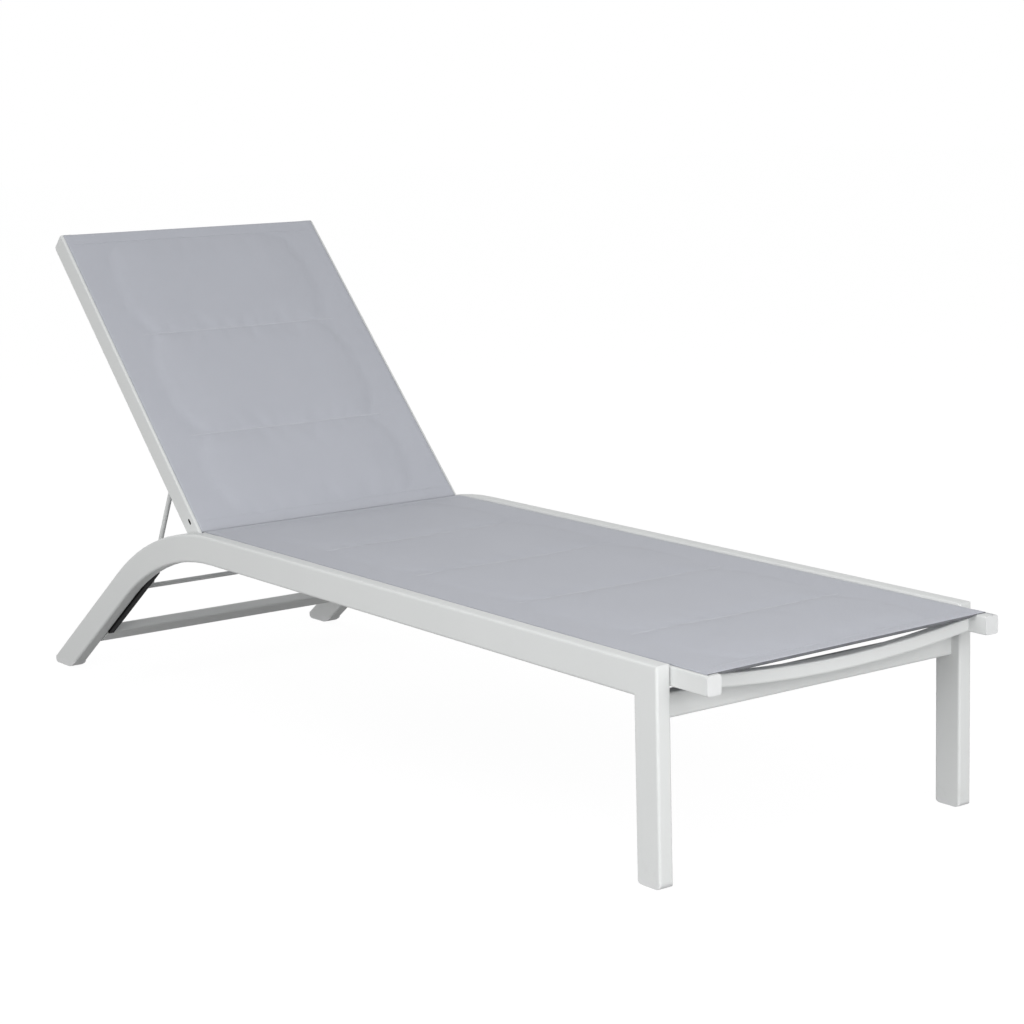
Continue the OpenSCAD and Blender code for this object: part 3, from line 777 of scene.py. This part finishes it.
@dataclass
class PaddedSling:
    """A quilted sling: bare mesh over the rails, padding between sewn channels.

    Its own frame has X across, Y along from its lower end and Z out of its face, with
    Z = 0 on the rails' tops.

    Attributes:
        name: What its pieces' names start with.
        node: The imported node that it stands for.
        body: The body that it moves with.
        place: Where its own frame lies.
        half: Half its width.
        length: Its length.
        seams: Places of the sewn channels, as shares of the length.
        pad_half: Half the padding's width, and half of a channel's stitching.
        skew: How much further up its lower hem lies at the +X corner.
        cloth: Thickness of the bare fabric.
        hem: Width of each hem.
        rise: How far the padding stands over the fabric.
        sink: How far it hangs under the fabric.
        shoulder: Way over which a channel draws the padding in.
        side_run: Way over which the padding thins out toward a side.
        end_run: Way over which it thins out toward a hem.
        groove: Share of the padding that a channel takes away.
        sag: Sag of the fabric between the rails.
        sag_half: Half the width that sags.
        sag_run: Way over which the sag ends toward a hem.
        cap: Largest shift that the swelling gives a point.
        fold: How far a hem's edge folds down between the rails.
        gap_half: Half the gap between the rails.
        pad_margin: Fabric beside the padding, and beside a hem's stitching.
        pad_start: Where the padding starts, as a share of a hem's width.
        seam_hold: Half the width that a channel holds still.
        gather: Height of the gathers along a channel.
        gather_pitches: Their pitches.
        gather_from: Distance of the largest gathers from a channel.
        gather_width: How wide the gathers spread.
        gather_lean: How far the gathers lean at most, across per way along.
        drape: Height of the broad, uneven waves.
        drape_waves: Radians per metre across and along of the two broad waves.
        hem_lift: Extra thickness of a hem.
        hem_step: Way over which that thickness ends.
        hem_inset: From a hem's stitching to its inner edge.
        fold_run: Width of the folded edge.
        fold_step: Way over which the fold reaches its depth.
        rail_step: Way over which the fold ends beside a rail.
        edge: Width of the rounded rim.
        pinch: Share of the fabric's thickness that the rim takes off on each face.
        row_steps: Steps of the grid along the sling.
        column_steps: Steps of the grid across it.
        stitch: Its stitches.
        filling: How its padding swells.
        rows: Places of the grid's rows.
        columns: Places of its columns.
        top: Heights of the sling's face on the grid.
    """

    name: str
    node: str
    body: Body
    place: Matrix
    half: float
    length: float
    seams: tuple[float, ...]
    pad_half: float = 0.209
    skew: float = 0.0
    cloth: float = 0.0016
    hem: float = 0.026
    rise: float = 0.0034
    sink: float = 0.0052
    shoulder: float = 0.016
    side_run: float = 0.1
    end_run: float = 0.08
    groove: float = 0.55
    sag: float = 0.003
    sag_half: float = 0.248
    sag_run: float = 0.16
    cap: float = 0.0024
    fold: float = 0.003
    gap_half: float = 0.252
    pad_margin: float = 0.012
    pad_start: float = 0.6
    seam_hold: float = 0.0012
    gather: float = 0.0003
    gather_pitches: tuple[float, ...] = (0.017, 0.026, 0.041)
    gather_from: float = 0.008
    gather_width: float = 0.006
    gather_lean: float = 0.4
    drape: float = 0.0003
    drape_waves: tuple[tuple[float, float], ...] = ((17.0, 9.0), (-5.0, 23.0))
    hem_lift: float = 0.0003
    hem_step: float = 0.003
    hem_inset: float = 0.002
    fold_run: float = 0.0065
    fold_step: float = 0.0045
    rail_step: float = 0.008
    edge: float = 0.0008
    pinch: float = 0.3
    row_steps: Spacing = Spacing(0.0021, 0.0094, 0.034)
    column_steps: Spacing = Spacing(0.0024, 0.0096, 0.03)
    stitch: Stitch = Stitch()
    filling: Filling = Filling()
    rows: np.ndarray = field(default_factory=lambda: np.zeros(0))
    columns: np.ndarray = field(default_factory=lambda: np.zeros(0))
    top: np.ndarray = field(default_factory=lambda: np.zeros(0))

    def seam_lines(self) -> list[float]:
        """Places of the channels along the sling."""
        return [share * self.length for share in self.seams]

    def lay_out(self) -> None:
        """Works out the rows and columns of the grid."""
        ends = [0.0, self.hem, self.length - self.hem, self.length]
        self.rows = self.row_steps.places(ends + self.seam_lines(), self.length)
        width = 2 * self.half
        self.columns = self.column_steps.places([0.0, width], width) - self.half

    def set_back(self, x: np.ndarray | float, y: np.ndarray | float) -> np.ndarray | float:
        """How far the slant of the lower hem shifts a place along the sling.

        Args:
            x: Places across.
            y: Places along.

        Returns:
            The shifts, full at the hem's +X corner and zero from the first channel on.
        """
        share = (x / self.half + 1) / 2
        return self.skew * share * np.clip(1 - y / self.seam_lines()[0], 0, 1)

    def channel_distance(self, y: np.ndarray) -> np.ndarray:
        """Distance along the sling to the nearest sewn channel."""
        away = np.full_like(y, self.length)
        for line in self.seam_lines():
            away = np.minimum(away, np.abs(y - line))
        return away

    def fullness(self, x: np.ndarray, y: np.ndarray) -> np.ndarray:
        """Share of the padding's full thickness, 0 on bare fabric.

        The padding thins out gently toward the sides and hems, and each channel draws
        it in over a short way.

        Args:
            x: Places across.
            y: Places along.

        Returns:
            The shares.
        """
        side = smooth_step((self.pad_half + self.pad_margin - np.abs(x)) / self.side_run)
        from_start = np.minimum(y, self.length - y) - self.hem * self.pad_start
        ends = smooth_step(from_start / self.end_run)
        t = np.clip(self.channel_distance(y) / self.shoulder, 0, 1)
        drawn = 1 - self.groove * (1 - np.sqrt(1 - (1 - t) ** 2))
        return side * ends * drawn

    def held_points(self, x: np.ndarray, y: np.ndarray, full: np.ndarray) -> np.ndarray:
        """Which points the sewing and the rails hold still while the padding swells.

        Args:
            x: Places across, not used.
            y: Places along.
            full: Share of the full padding there.

        Returns:
            True where a point is held.
        """
        return (full < BARE) | (self.channel_distance(y) < self.seam_hold)

    def puckers(self, x: np.ndarray, y: np.ndarray) -> np.ndarray:
        """Small gathers that the sewing draws across each channel.

        Args:
            x: Places across.
            y: Places along.

        Returns:
            Heights in metres, about zero.
        """
        draw = np.random.default_rng(GATHER_SEED)
        total = np.zeros_like(x)
        for line in self.seam_lines():
            away = np.abs(y - line)
            wave = np.zeros_like(x)
            for pitch in self.gather_pitches:
                turn = draw.uniform(0, 2 * math.pi)
                lean = draw.uniform(-self.gather_lean, self.gather_lean)
                wave += np.sin(2 * math.pi * (x + lean * (y - line)) / pitch + turn)
            near = np.exp(-((away - self.gather_from) ** 2) / (2 * self.gather_width**2))
            total += wave / len(self.gather_pitches) * near * self.gather
        drape = np.full_like(x, self.drape)
        for across, along in self.drape_waves:
            drape *= np.sin(x * across + y * along)
        return (total + drape) * self.fullness(x, y)

    def ground(self, x: np.ndarray, y: np.ndarray) -> np.ndarray:
        """Height of the bare fabric's underside, which sags between the rails.

        Args:
            x: Places across.
            y: Places along.

        Returns:
            The heights, zero over the rails and along both hems.
        """
        ends = smooth_step(np.minimum(y, self.length - y) / self.sag_run)
        return -self.sag * np.clip(1 - (x / self.sag_half) ** 2, 0, 1) * ends

    def shell(self) -> tuple[np.ndarray, list[tuple[int, ...]], np.ndarray]:
        """The sling's closed skin before it swells.

        Returns:
            Its points, its faces, and which points are held.
        """
        y, x = np.meshgrid(self.rows, self.columns, indexing="ij")
        full = self.fullness(x, y)
        ground = self.ground(x, y)
        extra = self.puckers(x, y)
        end = np.minimum(y, self.length - y)
        hem = self.hem_lift * smooth_step((self.hem - end) / self.hem_step)
        between_rails = smooth_step((self.gap_half - np.abs(x)) / self.rail_step)
        fold = self.fold * between_rails * smooth_step((self.fold_run - end) / self.fold_step)
        upper = ground + self.cloth + full * self.rise + extra + hem
        under = ground - full * self.sink - extra - hem - fold
        rim = np.minimum(self.half - np.abs(x), end)
        pinch = np.clip(1 - rim / self.edge, 0, 1) * self.cloth * self.pinch
        upper, under = upper - pinch, under + pinch
        m, n = x.shape
        along = y + self.set_back(x, y)
        points = np.concatenate(
            [
                np.stack([x, along, upper], -1).reshape(-1, 3),
                np.stack([x, along, under], -1).reshape(-1, 3),
            ]
        )
        base = m * n
        faces: list[tuple[int, ...]] = []
        for j in range(m - 1):
            for i in range(n - 1):
                a = j * n + i
                faces.append((a, a + 1, a + n + 1, a + n))
                a += base
                faces.append((a, a + n, a + n + 1, a + 1))
        for i in range(n - 1):
            faces.append((i, base + i, base + i + 1, i + 1))
            a = (m - 1) * n + i
            faces.append((a, a + 1, base + a + 1, base + a))
        for j in range(m - 1):
            a = j * n
            faces.append((a, a + n, base + a + n, base + a))
            a += n - 1
            faces.append((a, base + a, base + a + n, a + n))
        held = self.held_points(x, y, full).ravel()
        return points, faces, np.concatenate([held, held])

    def end_faces(self) -> range:
        """Which of the skin's faces close its two ends."""
        across, along = len(self.columns) - 1, len(self.rows) - 1
        start = 2 * across * along
        return range(start, start + 2 * across)

    def swell(self, piece: bpy.types.Object, fixed: np.ndarray) -> None:
        """Swells the padding between its channels with a short cloth simulation.

        Args:
            piece: The sling.
            fixed: Which points are held.
        """
        scene = bpy.context.scene
        held = piece.vertex_groups.new(name="held")
        held.add([int(i) for i in np.nonzero(fixed)[0]], 1.0, "REPLACE")
        cloth = piece.modifiers.new("Swell", "CLOTH")
        self.filling.apply(cloth, held.name)
        rest = np.array([v.co for v in piece.data.vertices])
        for step in range(1, self.filling.steps + 1):
            scene.frame_set(step)
        graph = bpy.context.evaluated_depsgraph_get()
        moved = np.array([v.co for v in piece.evaluated_get(graph).data.vertices])
        piece.modifiers.remove(cloth)
        piece.vertex_groups.remove(held)
        scene.frame_set(1)
        shift = moved - rest
        size = np.linalg.norm(shift, axis=1, keepdims=True)
        limited = self.cap * np.tanh(size / self.cap)
        shift *= limited / np.maximum(size, TINY)
        piece.data.vertices.foreach_set("co", (rest + shift).astype(np.float32).ravel())
        piece.data.update()
        log.info("%s swelled by %.1f mm at most", self.name, 1000 * float(limited.max()))

    def surface(self, x: float, y: float) -> float:
        """Height of the sling's face at a place.

        Args:
            x: Place across.
            y: Place along.

        Returns:
            The height.
        """
        j = int(np.clip(np.searchsorted(self.rows, y) - 1, 0, len(self.rows) - 2))
        i = int(np.clip(np.searchsorted(self.columns, x) - 1, 0, len(self.columns) - 2))
        v = (y - self.rows[j]) / (self.rows[j + 1] - self.rows[j])
        u = (x - self.columns[i]) / (self.columns[i + 1] - self.columns[i])
        low = self.top[j, i] * (1 - u) + self.top[j, i + 1] * u
        high = self.top[j + 1, i] * (1 - u) + self.top[j + 1, i + 1] * u
        return float(low * (1 - v) + high * v)

    def stitches(
        self, kind: str, half: float, rows: Iterable[float], material: bpy.types.Material
    ) -> bpy.types.Object:
        """Lays rows of stitches on the sling's face.

        Args:
            kind: What the stitches hold, for the piece's name.
            half: Half the length of a row of stitches.
            rows: Places of the rows along the sling.
            material: The thread's finish.

        Returns:
            All these stitches as one piece.
        """
        draw = np.random.default_rng(STITCH_SEED)
        one = self.stitch
        pitch = one.length + one.gap
        points: list[Point] = []
        faces: list[tuple[int, ...]] = []
        for row in rows:
            for k in range(int(2 * half / pitch)):
                middle = (k + 0.5) * pitch - half
                lean = draw.uniform(-one.lean, one.lean)
                faces += one.faces(len(points))
                for t, thick, lift in one.profile:
                    x, y = middle + t * one.length, row + lean * t * one.length
                    z = self.surface(x, y) + lift
                    y += self.set_back(x, y)
                    r = one.radius * thick
                    for s in range(one.sides):
                        a = 2 * math.pi * s / one.sides
                        points.append((x, y + r * math.cos(a), z + r * math.sin(a)))
        return new_piece(f"{self.name}_{kind}_stitches", points, faces, material, self.place)

    def build(self, finishes: Finishes) -> None:
        """Builds the sling and its stitching.

        Args:
            finishes: The lounger's finishes.
        """
        self.lay_out()
        points, faces, held = self.shell()
        fabric = finishes.made[Slot.FABRIC]
        cover = new_piece(f"{self.name}_cover", points, faces, fabric, Matrix())
        # The end faces get the painted hem shade, darkened to stand in for the shade below each
        # hem's edge.
        cover.data.materials.append(finishes.painted_hem_shade)
        for face in self.end_faces():
            cover.data.polygons[face].material_index = 1
        self.swell(cover, held)
        count = len(self.rows) * len(self.columns)
        heights = np.array([v.co.z for v in cover.data.vertices])[:count]
        self.top = heights.reshape(len(self.rows), len(self.columns))
        cover.matrix_world = self.place
        lines, thread = self.seam_lines(), finishes.channel_thread
        channels = self.stitches("channel", self.pad_half, lines, thread)
        ends = (self.hem - self.hem_inset, self.length - self.hem + self.hem_inset)
        hems = self.stitches("hem", self.half - self.pad_margin, ends, finishes.hem_thread)
        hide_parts(self.node)
        for piece in (cover, channels, hems):
            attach(piece, self.body.value)
            log.info("%s: %d faces", piece.name, len(piece.data.polygons))


def both(*stems: str) -> tuple[str, ...]:
    """The left and the right node of each name."""
    return tuple(f"{stem}_{side}" for stem in stems for side in ("left", "right"))


@dataclass
class FrameTubes:
    """The two bent side frames with their legs, feet, apron and crossbar."""

    tubes: tuple[str, ...] = both("side_frame", "front_leg")
    bars: tuple[str, ...] = ("front_apron", "rear_crossbar")
    feet: tuple[str, ...] = both("front_foot", "rear_foot")

    def dress(self, finishes: Finishes) -> None:
        """Gives the frame its finishes."""
        finishes.dress(Slot.PAINT, *self.tubes, *self.bars)
        finishes.dress(Slot.PALE, *self.feet)


@dataclass
class SeatTray:
    """The seat's rails, spreaders, caps and fastenings, and its sling."""

    rails: tuple[str, ...] = both("seat_rail")
    spreaders: tuple[str, ...] = ("foot_spreader", "middle_spreader", "hinge_spreader")
    caps: tuple[str, ...] = both("seat_front_cap", "seat_rear_cap")
    hems: tuple[str, ...] = both("seat_keder")
    bolts: tuple[str, ...] = ("seat_rail_bolts", *both("pivot_bolt"))
    nuts: tuple[str, ...] = ("seat_rail_nuts", *both("pivot_nut"))
    mid_y: float = 0.888535
    rail_top: float = 0.315
    rise: float = 0.8
    front: float = 0.069
    drop: float = 0.004
    half: float = 0.2755
    length: float = 1.34583
    channels: tuple[float, ...] = (0.1826, 0.3834, 0.5843, 0.7851)
    pad_half: float = 0.205
    skew: float = 0.014

    def sling(self) -> PaddedSling:
        """The seat's sling, laid on the rails."""
        place = (
            Matrix.Translation((0, -self.mid_y, self.rail_top))
            @ Matrix.Rotation(math.radians(self.rise), 4, "X")
            @ Matrix.Translation((0, -self.front, -self.drop))
        )
        return PaddedSling(
            "seat",
            "seat_sling",
            Body.FRAME,
            place,
            self.half,
            self.length,
            self.channels,
            self.pad_half,
            self.skew,
        )

    def dress(self, finishes: Finishes) -> None:
        """Gives the tray its finishes and builds its sling."""
        finishes.dress(Slot.PAINT, *self.rails, *self.spreaders)
        finishes.dress(Slot.PALE, *self.caps)
        finishes.dress(Slot.HEM, *self.hems)
        finishes.dress(Slot.STEEL, *self.bolts, *self.nuts)
        self.sling().build(finishes)


@dataclass
class Backrest:
    """The backrest's rails, spreaders, caps and bushes, and its sling."""

    rails: tuple[str, ...] = both("back_rail")
    spreaders: tuple[str, ...] = ("back_top_spreader", "back_low_spreader")
    caps: tuple[str, ...] = both("back_top_cap", "back_low_cap")
    hems: tuple[str, ...] = both("back_keder")
    nylon: tuple[str, ...] = ("keder_stops", *both("pivot_bush", "prop_bush"))
    pivot: tuple[float, float] = (0.411465, 0.31015)
    angle: float = 46.5
    start: float = 0.005
    face: float = 0.019
    half: float = 0.2745
    length: float = 0.703
    channels: tuple[float, ...] = (0.299, 0.64)

    def sling(self) -> PaddedSling:
        """The backrest's sling, laid on its rails."""
        place = (
            Matrix.Translation((0, *self.pivot))
            @ Matrix.Rotation(math.radians(self.angle), 4, "X")
            @ Matrix.Translation((0, self.start, self.face))
        )
        return PaddedSling(
            "back",
            "back_sling",
            Body.BACKREST,
            place,
            self.half,
            self.length,
            self.channels,
        )

    def dress(self, finishes: Finishes) -> None:
        """Gives the backrest its finishes and builds its sling."""
        finishes.dress(Slot.PAINT, *self.rails, *self.spreaders)
        finishes.dress(Slot.PALE, *self.caps)
        finishes.dress(Slot.HEM, *self.hems)
        finishes.dress(Slot.BLACK, *self.nylon)
        self.sling().build(finishes)


@dataclass
class PropStand:
    """The swinging prop, and the racks that its cross rod rests in."""

    rods: tuple[str, ...] = (*both("prop_arm"), "prop_cross_rod")
    racks: tuple[str, ...] = both("rack")
    screws: str = "rack_screws"

    def dress(self, finishes: Finishes) -> None:
        """Gives the prop and racks their finishes."""
        finishes.dress(Slot.PAINT, *self.rods)
        finishes.dress(Slot.BLACK, *self.racks)
        finishes.dress(Slot.STEEL, self.screws)


@dataclass(frozen=True)
class SoftBox:
    """A square lamp: its name, place, the point that it faces, its side and its watts."""

    name: str
    at: Point
    aim: Point
    size: float
    power: float

    def hang(self) -> None:
        """Hangs the lamp."""
        data = bpy.data.lights.new(self.name, "AREA")
        data.shape, data.size, data.energy = "SQUARE", self.size, self.power
        made = bpy.data.objects.new(self.name, data)
        bpy.context.scene.collection.objects.link(made)
        made.location = self.at
        toward = Vector(self.aim) - Vector(self.at)
        made.rotation_euler = toward.to_track_quat("-Z", "Y").to_euler()


@dataclass
class Studio:
    """A plain white studio, its lamps, and the camera where the photograph was taken."""

    eye: Point = (-2.31498, -3.305891, 1.06965)
    azimuth: float = -36.305
    elevation: float = 9.75
    roll: float = -1.552
    lens: float = 84.43
    film: float = 36.0
    ground: float = 30.0
    sky: float = 0.56
    boxes: tuple[SoftBox, ...] = (
        SoftBox("key_box", (-2.6, -3.2, 3.4), (0.0, 0.0, 0.3), 2.6, 36.0),
        SoftBox("fill_box", (3.6, -2.4, 2.6), (0.0, 0.0, 0.3), 2.6, 16.0),
        SoftBox("back_box", (0.6, 4.2, 3.6), (0.0, 0.0, 0.3), 2.4, 16.0),
        SoftBox("side_box", (-4.0, -1.3, 1.15), (0.0, 0.0, 0.4), 2.4, 80.0),
        SoftBox("foot_box", (-0.3, -2.7, 0.7), (0.0, -0.8, 0.27), 1.2, 23.5),
    )

    def floor(self) -> None:
        """Lays the floor."""
        far = self.ground
        corners = [(-far, -far, 0), (far, -far, 0), (far, far, 0), (-far, far, 0)]
        white = StudioWhite().build()
        new_piece("studio_floor", corners, [(0, 1, 2, 3)], white, Matrix())

    def world(self) -> None:
        """Lights the whole sky evenly, and shows it white to the camera."""
        world = bpy.data.worlds.new("studio_sky")
        bpy.context.scene.world = world
        g = Graph(world)
        light = g.node("ShaderNodeBackground", None, {"Color": WHITE, "Strength": self.sky})
        seen = g.node("ShaderNodeBackground", None, {"Color": WHITE, "Strength": 1.0})
        mixed = g.node("ShaderNodeMixShader", None, {0: g.shown_white(), 1: light, 2: seen})
        g.add("ShaderNodeOutputWorld", None, {"Surface": mixed})

    def camera(self) -> None:
        """Puts the camera where the photograph was taken."""
        azimuth, elevation, roll = map(math.radians, (self.azimuth, self.elevation, self.roll))
        level = math.cos(elevation)
        back = Vector(
            (math.sin(azimuth) * level, -math.cos(azimuth) * level, math.sin(elevation))
        )
        right = (-back).cross(Vector((0, 0, 1))).normalized()
        up = right.cross(-back)
        turned_right = right * math.cos(roll) + up * math.sin(roll)
        turned_up = up * math.cos(roll) - right * math.sin(roll)
        data = bpy.data.cameras.new("photo_view")
        data.sensor_width, data.lens = self.film, self.lens
        data.clip_start, data.clip_end = 0.1, 100.0
        made = bpy.data.objects.new("photo_view", data)
        bpy.context.scene.collection.objects.link(made)
        turn = Matrix((turned_right, turned_up, back)).transposed().to_4x4()
        made.matrix_world = Matrix.Translation(self.eye) @ turn
        bpy.context.scene.camera = made

    def build(self) -> None:
        """Sets up the whole studio."""
        bpy.context.scene.view_settings.view_transform = "Standard"
        self.floor()
        self.world()
        for box in self.boxes:
            box.hang()
        self.camera()
        log.info("studio: floor, sky, %d lamps and the camera", len(self.boxes))


def main() -> None:
    """Builds every sub-assembly in order."""
    logging.basicConfig(level=logging.INFO, format="%(message)s")
    finishes = Finishes()
    FrameTubes().dress(finishes)
    SeatTray().dress(finishes)
    Backrest().dress(finishes)
    PropStand().dress(finishes)
    Studio().build()


if __name__ == "__main__":
    main()
